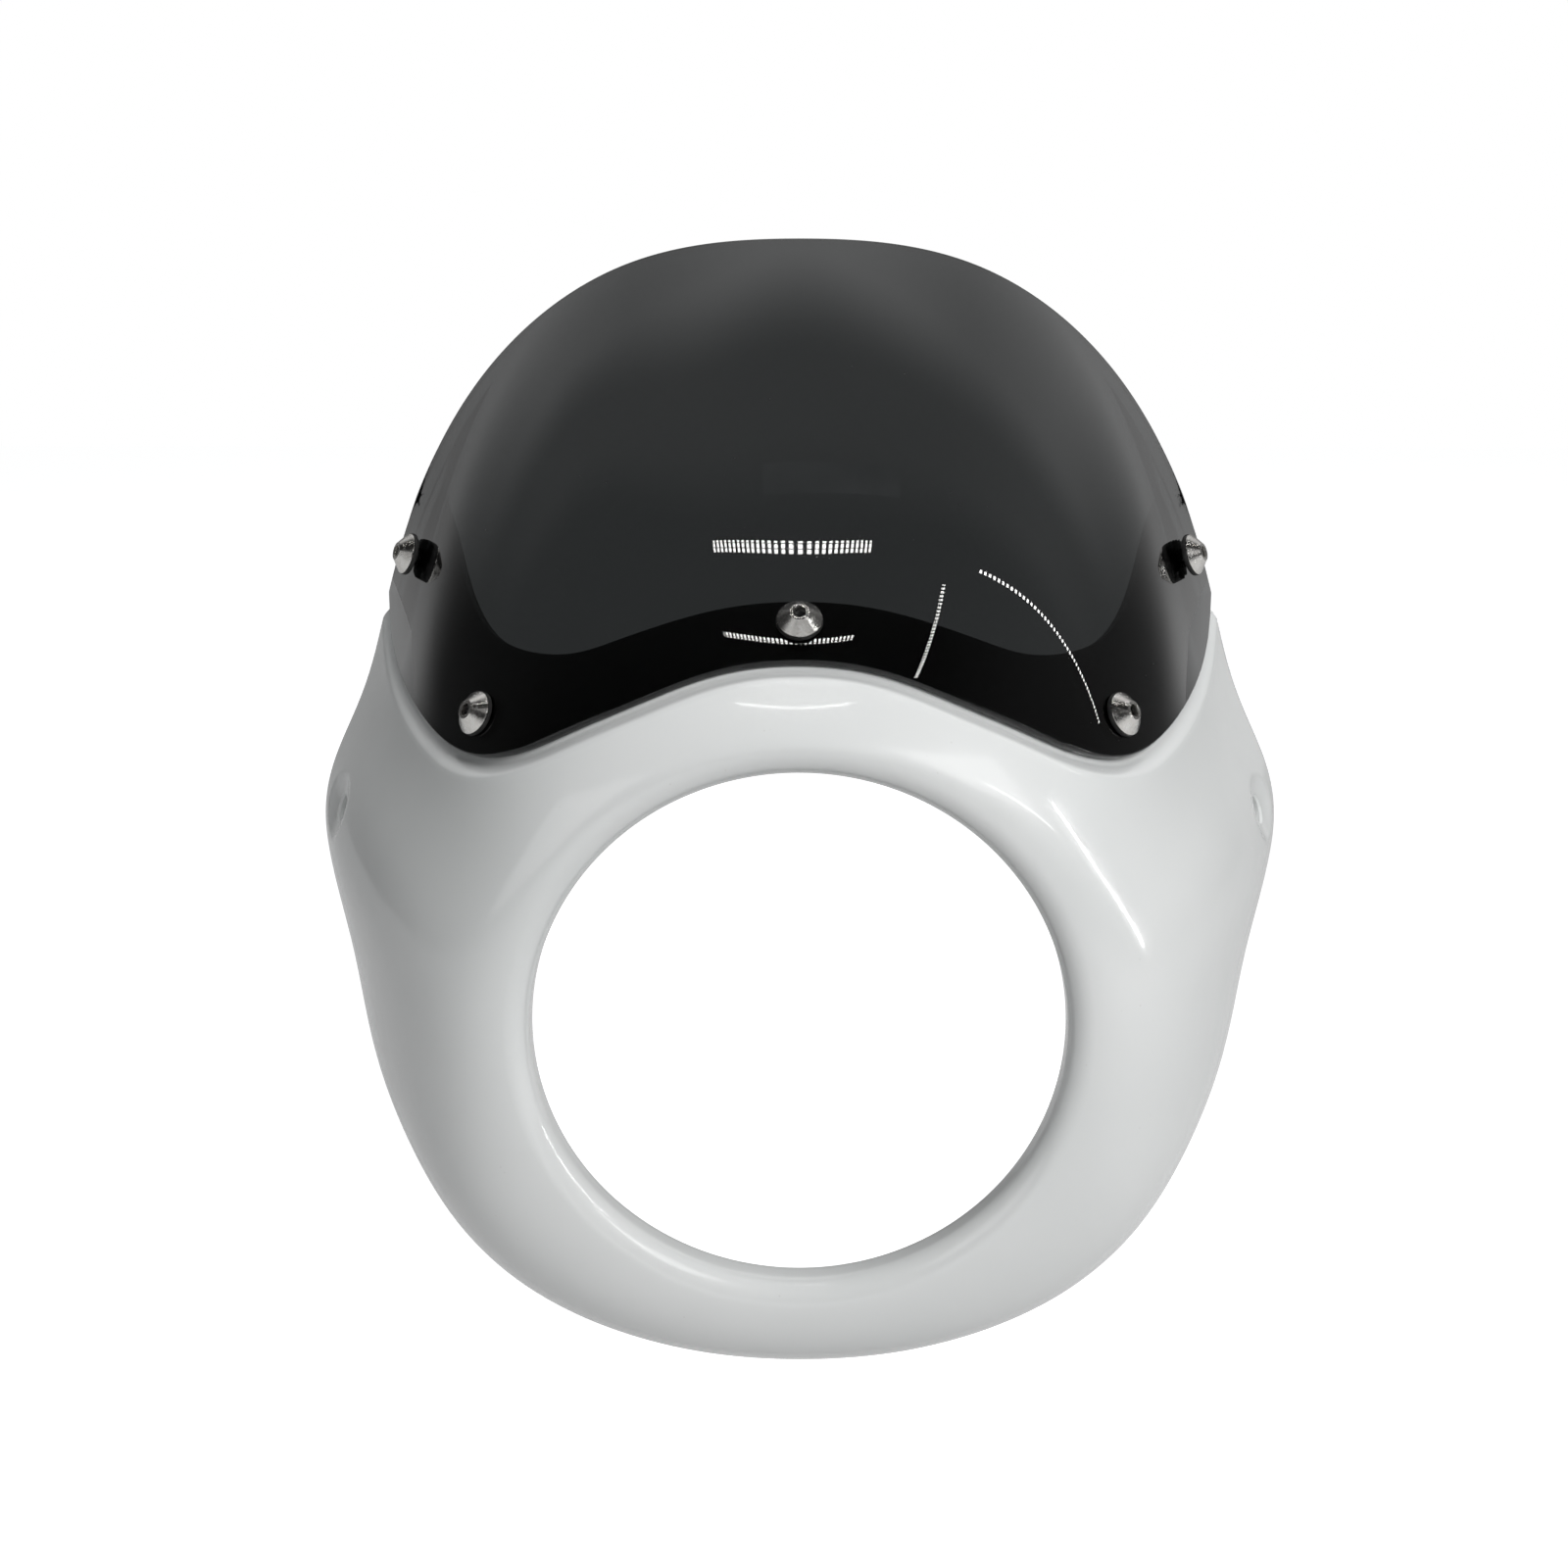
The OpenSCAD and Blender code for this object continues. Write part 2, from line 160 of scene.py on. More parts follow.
def sunk(place, depth):
    """A point at a height over the face, negative for below it."""
    a, s = place[..., 0], place[..., 1]
    return face_at(a, s) + np.asarray(depth)[..., None] * out_at(a, s)

print("chin:", face_at(270.0, 1.0).round(1), "crown:", face_at(90.0, 1.0).round(1))

# %% [markdown]
# ## Lines drawn on the face
#
# The sheet's lower edge swings down to each side, and the seat under it follows a
# second line. Both are smooth lines given in angle and reach. To make the rounded
# step beside the sheet, its line is moved sideways by true millimetres, which needs
# the stretch of the face at each point.

# %% Screen line, seat line and moving a line sideways
def line_at(line, u):
    u = np.asarray(u, float)
    ends = np.vstack([[180 - line[1, 0], line[1, 1]], line, 2 * line[-1] - line[-2]])
    v = np.abs(u)
    i = np.minimum(np.floor(v), ENDS - 1).astype(int)
    f = (v - i)[..., None]
    place = sum(w * ends[i + k] for k, w in enumerate(curve_weights(f)))
    flipped = np.stack([180 - place[..., 0], place[..., 1]], -1)
    return np.where((u < 0)[..., None], flipped, place)

def moved(u, d):
    """The screen line moved outwards by d millimetres. Near its ends it keeps to the rear edge."""
    u = np.asarray(u, float)
    p = line_at(SCREEN_LINE, u)
    ahead, behind = np.minimum(u + 0.05, ENDS), np.maximum(u - 0.05, -ENDS)
    t = line_at(SCREEN_LINE, ahead) - line_at(SCREEN_LINE, behind)
    ja = along_angle(p[..., 0], p[..., 1])
    js = along_reach(p[..., 0], p[..., 1])
    along = ja * t[..., :1] + js * t[..., 1:]
    side = np.stack([-(js * along).sum(-1), (ja * along).sum(-1)], -1)
    side = side / np.linalg.norm(ja * side[..., :1] + js * side[..., 1:], axis=-1, keepdims=True)
    e = np.maximum(0, (np.abs(u) - ENDS + 1.2) / 1.2)
    safe = np.where(e > 0, t[..., 1], 1)
    side = side - ((e * e * (3 - 2 * e)) * (side[..., 1] / safe))[..., None] * t
    return p + np.asarray(d)[..., None] * side

def mix(a, b, f):
    return a * (1 - f) + b * f

def ease(f):
    f = np.clip(f, 0, 1)
    return f * f * (3 - 2 * f)

print("screen edge, middle:", sunk(line_at(SCREEN_LINE, 0.0), 0.0).round(1))

# %% [markdown]
# ## Places for screws and ears
#
# A screw stands square on the face, so each place gets its own upright set of axes:
# out of the face, level across it, and up along it. The same axes turn the dished
# pocket of the ear.

# %% Axes that stand on the face
def stand(angle, reach):
    """Turn and place of something that stands on the face, Z pointing out."""
    z = out_at(angle, reach)
    x = np.cross([0, 0, 1], z)
    x = x / np.linalg.norm(x)
    return np.stack([x, np.cross(z, x), z], 1), face_at(angle, reach)

PLACES = {
    "centre": (90.0, 0.336), "lower_right": (42.6, 0.5), "lower_left": (137.4, 0.5),
    "side_right": (44.3, 0.94), "side_left": (135.7, 0.94)}
EARS = [(16.0, 0.88), (164.0, 0.88)]
POCKET_D, POCKET_DEPTH = 26.0, 2.4
PAD_D, PAD_T = 22.0, 6.0
EAR_HOLE_D, SCREW_HOLE_D = 8.4, 5.8

def stand_matrix(place):
    turn, p = stand(*place)
    return Matrix([list(turn[i]) + [p[i] * 0.001] for i in range(3)] + [[0, 0, 0, 1]])

for name, place in PLACES.items():
    print(name, "mm:", face_at(*place).round(1))

# %% [markdown]
# ## The moulded shell
#
# The real shell is one moulding, 3 mm thick, with a rolled lip, a step for the
# sheet and a dished ear on each side. We build it as one fine grid: each column runs
# from the lamp's tube over the lip and out to the rear edge, and the upper columns go
# on over the step and down to the seat. More lines are packed in near the ears, where
# the dish needs them. An inner skin lies one wall behind, and short walls close the
# rims, so the mesh is watertight. A solidify modifier could make the wall too, but it
# can't thicken the ears into pads.

# %% Columns and rows of the shell
HALF_COLS = 72
LOW_COLS = 260
FACE_ROWS = 72
SIDE_ANGLE = 8.0
up_cols = 2 * HALF_COLS
all_cols = up_cols + LOW_COLS
corner_a = float(moved(float(ENDS), STEP_W + 1)[0])

def packed(count, centres, width, gain, low=0.0, high=1.0):
    """Evenly counted values from low to high that crowd together round some centres."""
    x = np.linspace(low, high, 6001)
    crowd = 1 + sum(gain * np.exp(-((x - c) / width) ** 2) for c in centres)
    run = np.concatenate([[0], np.cumsum((crowd[1:] + crowd[:-1]) / 2)])
    return np.interp(np.linspace(0, run[-1], count + 1), run, x)

low_span = 90 + corner_a
ear_x = (270 - EARS[1][0]) / low_span
low_x = packed(LOW_COLS, [-ear_x, ear_x], 0.07, 6.0, -1.0, 1.0)
up_u = ENDS * (1 - np.arange(up_cols + 1) / HALF_COLS)
up_a = 90 - np.sign(up_u) * (90 - SIDE_ANGLE) * (np.abs(up_u) / ENDS) ** 1.15
low_a = 270 + low_span * low_x - (corner_a - SIDE_ANGLE) * np.sign(low_x) * np.abs(low_x) ** 4
col_a = np.concatenate([up_a, low_a[1:-1]])
col_q = np.concatenate([
    moved(up_u, STEP_W + 1 + 0 * up_u),
    np.stack([270 + low_span * low_x, 1 + 0 * low_x], -1)[1:-1]])
col_turn = np.concatenate([2.4 + 0 * up_u, (1.2 + 1.2 * np.abs(low_x) ** 6)[1:-1]])
face_f = packed(FACE_ROWS, [0.89], 0.08, 4.0)
print("columns:", all_cols, "rows over the face:", len(face_f))

# %% One skin of the shell at a depth behind the face
LIP_ROWS = 14
STEP_ROWS = 16
SEAT_ROWS = 6
lip_turn = np.radians(90 * (1 - np.arange(LIP_ROWS) / LIP_ROWS))
lip_r = LIP_R - (LIP_R - BORE_R) * np.sin(lip_turn)
lip_path = np.concatenate([
    [[BORE_R, TUBE_LEN, math.pi / 2], [BORE_R, 9.5, math.pi / 2], [BORE_R, 7.5, math.pi / 2]],
    np.stack([lip_r, LIP_D * (1 - np.cos(lip_turn)), lip_turn], -1)])

EAR_NEAR, EAR_NEAR_DEEP = 24, 14
DISH_SOFT, PAD_SOFT = 0.45, 1.6

def ear_shape(points, outer):
    """Presses the dish into the outer skin, or raises the pad on the inner one."""
    for place in EARS:
        turn, p = stand(*place)
        q = (points - p) @ turn
        rho = np.hypot(q[..., 0], q[..., 1])
        near = (rho < EAR_NEAR) & (np.abs(q[..., 2]) < EAR_NEAR_DEEP)
        if outer:
            ball = ((POCKET_D / 2) ** 2 + POCKET_DEPTH ** 2) / (2 * POCKET_DEPTH)
            dish = ball - POCKET_DEPTH - np.sqrt(np.maximum(ball ** 2 - rho ** 2, 1))
            gap = np.clip(0.5 + 0.5 * (q[..., 2] - dish) / DISH_SOFT, 0, 1)
            z = mix(q[..., 2], dish, gap) - DISH_SOFT * gap * (1 - gap)
        else:
            pad = np.minimum(q[..., 2], -POCKET_DEPTH - PAD_T)
            z = mix(pad, q[..., 2], ease((rho - PAD_D / 2 + 0.6) / PAD_SOFT))
        q[..., 2] = np.where(near, z, q[..., 2])
        points = np.where(near[..., None], q @ turn.T + p, points)
    return points

def step_depth(d):
    return -SEAT_DROP * (1 - ease(d / STEP_W))

def shell_skin(depth):
    """Points by column and row, and the extra rows of the upper columns."""
    rows = []
    t = np.radians(col_a)
    for r, y, tilt in lip_path:
        reach = r + depth * math.sin(tilt)
        level = 0 * t + y + depth * math.cos(tilt) - ORIGIN_BACK
        rows.append(np.stack([reach * np.cos(t), level, reach * np.sin(t)], -1))
    for f in face_f:
        place = np.stack([mix(col_a, col_q[:, 0], f ** col_turn), col_q[:, 1] * f], -1)
        rows.append(sunk(place, 0 * t - depth))
    seat = line_at(SEAT_LINE, up_u)
    edge = line_at(SCREEN_LINE, up_u)
    extra = []
    for j in range(1, STEP_ROWS + 1):
        d = STEP_W * (1 - j / STEP_ROWS) + 0 * up_u
        extra.append(sunk(moved(up_u, d), step_depth(d) - depth))
    for j in range(1, SEAT_ROWS + 1):
        extra.append(sunk(mix(edge, seat, j / SEAT_ROWS), 0 * up_u - SEAT_DROP - depth))
    main = ear_shape(np.stack(rows, 1), depth == 0)
    return main, np.stack(extra, 1)

outer_main, outer_extra = shell_skin(0)
inner_main, inner_extra = shell_skin(WALL)
one_skin = outer_main[..., 0].size + outer_extra[..., 0].size
print("points of one skin:", one_skin)

# %% Join the skins into a watertight mesh
def face_out(mesh):
    """Turns every face to the outside. Clear plastic bends light the wrong way without it."""
    work = bmesh.new()
    work.from_mesh(mesh)
    bmesh.ops.recalc_face_normals(work, faces=work.faces)
    if work.calc_volume(signed=True) < 0:
        bmesh.ops.reverse_faces(work, faces=work.faces)
    volume = work.calc_volume(signed=True)
    work.to_mesh(mesh)
    work.free()
    return volume

def new_mesh(name, points_mm, faces, smooth=True):
    mesh = bpy.data.meshes.new(name)
    mesh.from_pydata((points_mm * 0.001).tolist(), [], [list(map(int, f)) for f in faces])
    print(name, "cm3:", round(face_out(mesh) * 1e6, 1))
    if smooth:
        mesh.polygons.foreach_set("use_smooth", [True] * len(mesh.polygons))
    piece = bpy.data.objects.new(name, mesh)
    bpy.context.scene.collection.objects.link(piece)
    return piece

def strip(a, b):
    """Faces between two rows of point numbers."""
    return np.stack([a[:-1], a[1:], b[1:], b[:-1]], -1).tolist()

def shell_numbers(start):
    """Point numbers of the two parts of a skin, in the order that they are stored."""
    rows = outer_main.shape[1]
    main = start + np.arange(all_cols * rows).reshape(all_cols, rows)
    extra = start + all_cols * rows + np.arange(outer_extra[..., 0].size).reshape(up_cols + 1, -1)
    seat = np.concatenate([main[: up_cols + 1, -1:], extra], 1)
    return main, seat

main_out, seat_out = shell_numbers(0)
main_in, seat_in = shell_numbers(one_skin)
loop = np.append(np.arange(all_cols), 0)
faces = []
for j in range(main_out.shape[1] - 1):
    faces += strip(main_out[loop, j], main_out[loop, j + 1])
    faces += strip(main_in[loop, j + 1], main_in[loop, j])
for j in range(seat_out.shape[1] - 1):
    faces += strip(seat_out[:, j], seat_out[:, j + 1])
    faces += strip(seat_in[:, j + 1], seat_in[:, j])
low_loop = np.append(np.arange(up_cols, all_cols), 0)
faces += strip(main_in[loop, 0], main_out[loop, 0])
faces += strip(main_out[low_loop, -1], main_in[low_loop, -1])
faces += strip(seat_out[:, -1], seat_in[:, -1])
faces += strip(seat_in[0], seat_out[0])
faces += strip(seat_out[-1], seat_in[-1])
shell_points = np.concatenate([
    skin.reshape(-1, 3) for skin in (outer_main, outer_extra, inner_main, inner_extra)])
shell = new_mesh("moulded_shell", shell_points, faces)
inside = [int(min(f.vertices) >= one_skin) for f in shell.data.polygons]
print("shell faces:", len(shell.data.polygons))

# %% [markdown]
# ## Rounded rims and drilled holes
#
# No moulded rim is knife sharp. A bevel that only takes the corners rounds every rim
# by a little, and it catches the thin line of light that sells the thickness. The
# holes are drilled afterwards with one boolean, so that their edges stay crisp.

# %% Bevel, drill and shade
SHELL_ROUND, SHEET_ROUND = 0.8, 0.6

def drill(axes, steps, count=48):
    """Points and faces of a round cutter along an axis, from pairs of radius and height."""
    turn, p = axes
    t = np.arange(count) * 2 * math.pi / count
    rings = [np.stack([r * np.cos(t), r * np.sin(t), 0 * t + z], -1) for r, z in steps]
    points = np.concatenate(rings) @ turn.T + p
    k = np.arange(count)
    after = (k + 1) % count
    walls = []
    for j in range(len(steps) - 1):
        walls += (np.stack([k, after, after + count, k + count], -1) + j * count).tolist()
    top = (len(steps) - 1) * count
    return points, walls + [list(range(count))[::-1], list(range(top, top + count))]

def join_cutters(name, cutters):
    points, faces, start = [], [], 0
    for p, f in cutters:
        points.append(p)
        faces += [[i + start for i in face] for face in f]
        start += len(p)
    return new_mesh(name, np.concatenate(points), faces, smooth=False)

def finish_mesh(piece, cutter, bevel_mm, sharp_deg=32):
    """Rounds the rims, cuts the holes, and keeps the result as a plain mesh."""
    rim = piece.modifiers.new("rim", "BEVEL")
    rim.width = bevel_mm * 0.001
    rim.segments = 3
    rim.limit_method = "ANGLE"
    rim.angle_limit = math.radians(55)
    rim.use_clamp_overlap = False
    cut = piece.modifiers.new("holes", "BOOLEAN")
    cut.object = cutter
    cut.solver = "EXACT"
    graph = bpy.context.evaluated_depsgraph_get()
    mesh = bpy.data.meshes.new_from_object(piece.evaluated_get(graph))
    piece.modifiers.clear()
    piece.data = mesh
    print(piece.name, "finished, cm3:", round(face_out(mesh) * 1e6, 1))
    mesh.polygons.foreach_set("use_smooth", [True] * len(mesh.polygons))
    mesh.set_sharp_from_angle(angle=math.radians(sharp_deg))
    bpy.data.objects.remove(cutter)

flange_back = -SEAT_DROP - WALL
hole, bolt = SCREW_HOLE_D / 2, EAR_HOLE_D / 2
screw_steps = [(hole, flange_back - 3), (hole, 1)]
bolt_steps = [(bolt, flange_back - 4), (bolt, -POCKET_DEPTH - 0.4),
              (bolt + 0.6, -POCKET_DEPTH + 0.2), (bolt + 0.6, 4)]
cutters = [drill(stand(*place), screw_steps) for place in PLACES.values()]
cutters += [drill(stand(*place), bolt_steps, 64) for place in EARS]
shell.data.materials.append(None)
shell.data.materials.append(None)
shell.data.polygons.foreach_set("material_index", inside)
finish_mesh(shell, join_cutters("cutter", cutters), SHELL_ROUND)
shell.data.materials.clear()
print("finished shell faces:", len(shell.data.polygons))

# %% [markdown]
# ## The smoked sheet
#
# The sheet is cut from a clear dark plastic, bent over a form, with its rim polished
# round. It lies on the same face as the shell, so it drops into the step with an even
# gap. Its grid runs from its lower edge to the top.

# %% Build the sheet
SHEET_COLS = 168
SHEET_ROWS = 64
sheet_u = ENDS * (1 - 2 * np.arange(SHEET_COLS + 1) / SHEET_COLS)
low_edge = moved(sheet_u, -EDGE_GAP + 0 * sheet_u)
top_edge = np.stack([90 - CROWN_HALF * sheet_u / ENDS, 1 + 0 * sheet_u], -1)

def sheet_skin(depth):
    shares = np.arange(SHEET_ROWS + 1) / SHEET_ROWS
    return np.stack([sunk(mix(low_edge, top_edge, f), 0 * sheet_u - depth) for f in shares], 1)

sheet_points = np.concatenate([sheet_skin(0).reshape(-1, 3), sheet_skin(SHEET).reshape(-1, 3)])
top = np.arange((SHEET_COLS + 1) * (SHEET_ROWS + 1)).reshape(SHEET_COLS + 1, -1)
under = top + top.size
faces = []
for j in range(SHEET_ROWS):
    faces += strip(top[:, j], top[:, j + 1]) + strip(under[:, j + 1], under[:, j])
faces += strip(under[:, 0], top[:, 0]) + strip(top[:, -1], under[:, -1])
faces += strip(under[0], top[0]) + strip(top[-1], under[-1])
sheet = new_mesh("smoked_sheet", sheet_points, faces)
cutters = [drill(stand(*place), [(hole, -SHEET - 3), (hole, 3)]) for place in PLACES.values()]
finish_mesh(sheet, join_cutters("cutter", cutters), SHEET_ROUND)
print("finished sheet faces:", len(sheet.data.polygons))

# %% [markdown]
# ## A fair shine on the sheet
#
# A sheet that is blown or bent over a form comes out fair: lines of light run over it
# without a wobble. The CAD face is a little flat in the middle, by a millimetre, and a
# mirror finish would show that at once. The mesh keeps its shape, and only its shading
# directions are taken from a fairer face with the same outline. Corners on the polished
# rim and in the holes keep their own.

# %% Shading directions from a fairer face
FAIR_FORM = (
    np.array([110, 111, 115, 121, 127, 134, 135.5, 141.5, 153.5, 172, 198.5, 211, 207.5]),
    np.array([62, 62, 64, 66, 69, 74, 86, 112, 124, 131, 147, 157, 149.0]),
    np.array([30, 30, 30, 30, 32, 36, 42, 60, 66, 69, 67, 66, 66.0]),
    np.array([90, 90, 89, 87, 84, 81, 78, 75, 83, 89, 76, 64, 54.0]))

def place_on_face(points, depth):
    """Angle and reach of points that lie at a depth under the face."""
    q = points
    for again in range(3):
        angle = np.degrees(np.arctan2(q[:, 2], q[:, 0]))
        low, high = np.zeros(len(q)), np.full(len(q), 1.05)
        for halving in range(30):
            middle = (low + high) / 2
            front = face_at(angle, middle)[:, 1] < q[:, 1]
            low, high = np.where(front, middle, low), np.where(front, high, middle)
        q = points + depth * out_at(angle, low)
    return angle, low

SAME_WAY = 0.985

def fair_shading(piece, thick):
    """Turns the shading of both faces of the sheet, and counts the corners that it turned."""
    mesh = piece.data
    points, corners = np.empty(len(mesh.vertices) * 3), np.empty(len(mesh.loops) * 3)
    mesh.vertices.foreach_get("co", points)
    mesh.corner_normals.foreach_get("vector", corners)
    at = np.empty(len(mesh.loops), dtype=np.int32)
    mesh.loops.foreach_get("vertex_index", at)
    points, corners = points.reshape(-1, 3) * 1000, corners.reshape(-1, 3)
    chosen = np.zeros_like(corners)
    for depth, sign in ((0.0, 1), (thick, -1)):
        angle, reach = place_on_face(points, depth)
        like = (corners * out_at(angle, reach)[at]).sum(-1) * sign > SAME_WAY
        chosen[like] = sign * out_at(angle, reach, FAIR_FORM)[at][like]
    mesh.normals_split_custom_set(chosen.tolist())
    return int((np.abs(chosen).sum(-1) > 0).sum()), len(corners)

print("corners turned to the fair face, of all:", fair_shading(sheet, SHEET))

# %% [markdown]
# ## Screws, washers and nuts
#
# Each of these is a turned part, so it is drawn as half a profile and spun. The hex
# socket and the nut use the same spin with a radius that follows the six flats. The
# thread below the nut is a real helix, since it shows from behind.

# %% Spin a profile
HEAD_D, HEAD_H, TOP_D, SOCKET_AF, SOCKET_DEEP = 12.4, 3.4, 5.6, 3.4, 2.2
THREAD_D, SCREW_LEN, PITCH = 5.0, 18.0, 0.8
RUBBER_D, RUBBER_T, WASHER_T, NUT_AF, NUT_H = 12.8, 1.2, 1.0, 8.0, 4.0
FIT_GAP, LAY_GAP, PAD_GAP = 0.05, 0.12, 0.25
BACK_Z = -SEAT_DROP - WALL - PAD_GAP
AROUND = 96
spin = np.arange(AROUND) * 2 * math.pi / AROUND

def hex_radius(flats):
    """Distance to the side of a hexagon in each direction of the spin."""
    third = math.pi / 3
    return flats / 2 / np.cos(np.mod(spin + third / 2, third) - third / 2)

def spun(name, rings, closed):
    """A mesh from rings of radius and height, closed in a loop or by a point at each end."""
    points, faces = [], []
    for radius, height in rings:
        flat = radius * np.cos(spin), radius * np.sin(spin)
        points.append(np.stack([*flat, height + 0 * spin], -1))
    n = len(rings)
    k = np.arange(AROUND)
    after = (k + 1) % AROUND
    for j in range(n if closed else n - 1):
        a, b = j * AROUND, ((j + 1) % n) * AROUND
        faces += np.stack([k + a, after + a, after + b, k + b], -1).tolist()
    points = np.concatenate(points)
    if not closed:
        points = np.concatenate([points, [[0, 0, rings[0][1]], [0, 0, rings[-1][1]]]])
        first, last, far = n * AROUND, n * AROUND + 1, (n - 1) * AROUND
        faces += [[first, (i + 1) % AROUND, i] for i in range(AROUND)]
        faces += [[last, i + far, (i + 1) % AROUND + far] for i in range(AROUND)]
    mesh = bpy.data.meshes.new(name)
    mesh.from_pydata((points * 0.001).tolist(), [], faces)
    mesh.polygons.foreach_set("use_smooth", [True] * len(mesh.polygons))
    mesh.set_sharp_from_angle(angle=math.radians(28))
    return mesh

# %% Profiles of the small parts
def thread_rings(from_z, to_z, step=0.08):
    """A cut thread as rings, each a little turned against the last."""
    rings = []
    for z in np.arange(from_z, to_z, step):
        wave = np.abs(np.mod(z / PITCH - spin / (2 * math.pi), 1) * 2 - 1)
        crest = np.clip((wave - 0.12) / 0.76, 0, 1)
        fade = min(1, max(0, (z - from_z) / 0.9))
        rings.append((mix(2.0, 2.05 + 0.43 * crest, fade), z))
    return rings

lift_z = RUBBER_T + LAY_GAP + FIT_GAP
cone = [(TOP_D / 2, HEAD_H - 0.14), (TOP_D / 2 - 0.05, HEAD_H - 0.05), (TOP_D / 2 - 0.15, HEAD_H)]
socket = hex_radius(SOCKET_AF)
head = [(THREAD_D / 2, 0.0), (HEAD_D / 2 - 0.12, 0.0), (HEAD_D / 2 - 0.03, 0.04),
        (HEAD_D / 2, 0.14), (HEAD_D / 2, 0.32), (HEAD_D / 2 - 0.06, 0.46)] + cone
head += [(socket + 0.22, HEAD_H), (socket + 0.06, HEAD_H - 0.05), (socket, HEAD_H - 0.2),
         (socket, HEAD_H - SOCKET_DEEP + 0.1), (socket - 0.1, HEAD_H - SOCKET_DEEP),
         (1.2, HEAD_H - SOCKET_DEEP - 0.02), (0.02, HEAD_H - SOCKET_DEEP - 0.5)]
shank = [(2.0, -SCREW_LEN)] + thread_rings(-SCREW_LEN + 0.02, -9.0) + [(THREAD_D / 2, -8.9)]
screw_mesh = spun("screw", [(r, z + lift_z) for r, z in shank + head], False)

def ring_profile(outer, inner, low, high, soft):
    part = soft * 0.3
    return [(inner, low + soft), (inner + soft, low), (outer - soft, low),
            (outer - part, low + part), (outer, low + soft), (outer, high - soft),
            (outer - part, high - part), (outer - soft, high), (inner + soft, high),
            (inner, high - soft)]

rubber_rings = ring_profile(RUBBER_D / 2, THREAD_D / 2 + 0.05, LAY_GAP, LAY_GAP + RUBBER_T, 0.32)
rubber_mesh = spun("rubber_washer", rubber_rings, True)
washer_rings = ring_profile(WASHER_D / 2, THREAD_D / 2 + 0.15, BACK_Z - WASHER_T, BACK_Z, 0.14)
washer_mesh = spun("plain_washer", washer_rings, True)
nut_low = BACK_Z - WASHER_T - FIT_GAP - NUT_H
flats = hex_radius(NUT_AF)
nut_rings = [(2.55, nut_low + 0.45), (2.95, nut_low + 0.02), (NUT_AF / 2 - 0.25, nut_low)]
for h in np.concatenate([np.linspace(0.05, 0.8, 6), np.linspace(NUT_H - 0.8, NUT_H - 0.05, 6)]):
    room = min(h, NUT_H - h)
    nut_rings.append((np.minimum(flats, NUT_AF / 2 - 0.1 + room * 1.7), nut_low + h))
nut_rings += [(NUT_AF / 2 - 0.25, nut_low + NUT_H), (2.95, nut_low + NUT_H - 0.02),
              (2.55, nut_low + NUT_H - 0.45)]
nut_mesh = spun("nut", nut_rings, True)
print("screw faces:", len(screw_mesh.polygons), "nut faces:", len(nut_mesh.polygons))

# %% [markdown]
# ## Finishes written as sums
#
# A finish is a small graph of nodes. Dragging them by hand is fine for one, but here
# six finishes share the same tricks, so sockets are wrapped in a class that can be
# added and multiplied like numbers. One method makes any other node: it takes the
# node's type, its settings, and the values or links of its sockets.

# %% Sockets that can be added and multiplied
class Wire:
    """The output socket of a node, ready for sums."""

    def __init__(self, finish, socket):
        self.finish = finish
        self.socket = socket

    def maths(self, operation, first, second):
        return self.finish.node("ShaderNodeMath", {"operation": operation}, {0: first, 1: second})

    def __add__(self, other):
        return self.maths("ADD", self, other)

    def __radd__(self, other):
        return self.maths("ADD", other, self)

    def __sub__(self, other):
        return self.maths("SUBTRACT", self, other)

    def __rsub__(self, other):
        return self.maths("SUBTRACT", other, self)

    def __mul__(self, other):
        return self.maths("MULTIPLY", self, other)

    def __rmul__(self, other):
        return self.maths("MULTIPLY", other, self)

    def over(self, low, high):
        """0 below low, 1 above high, and smooth between."""
        return self.finish.node("ShaderNodeMapRange", {"interpolation_type": "SMOOTHSTEP"},
                                {"Value": self, "From Min": low, "From Max": high})

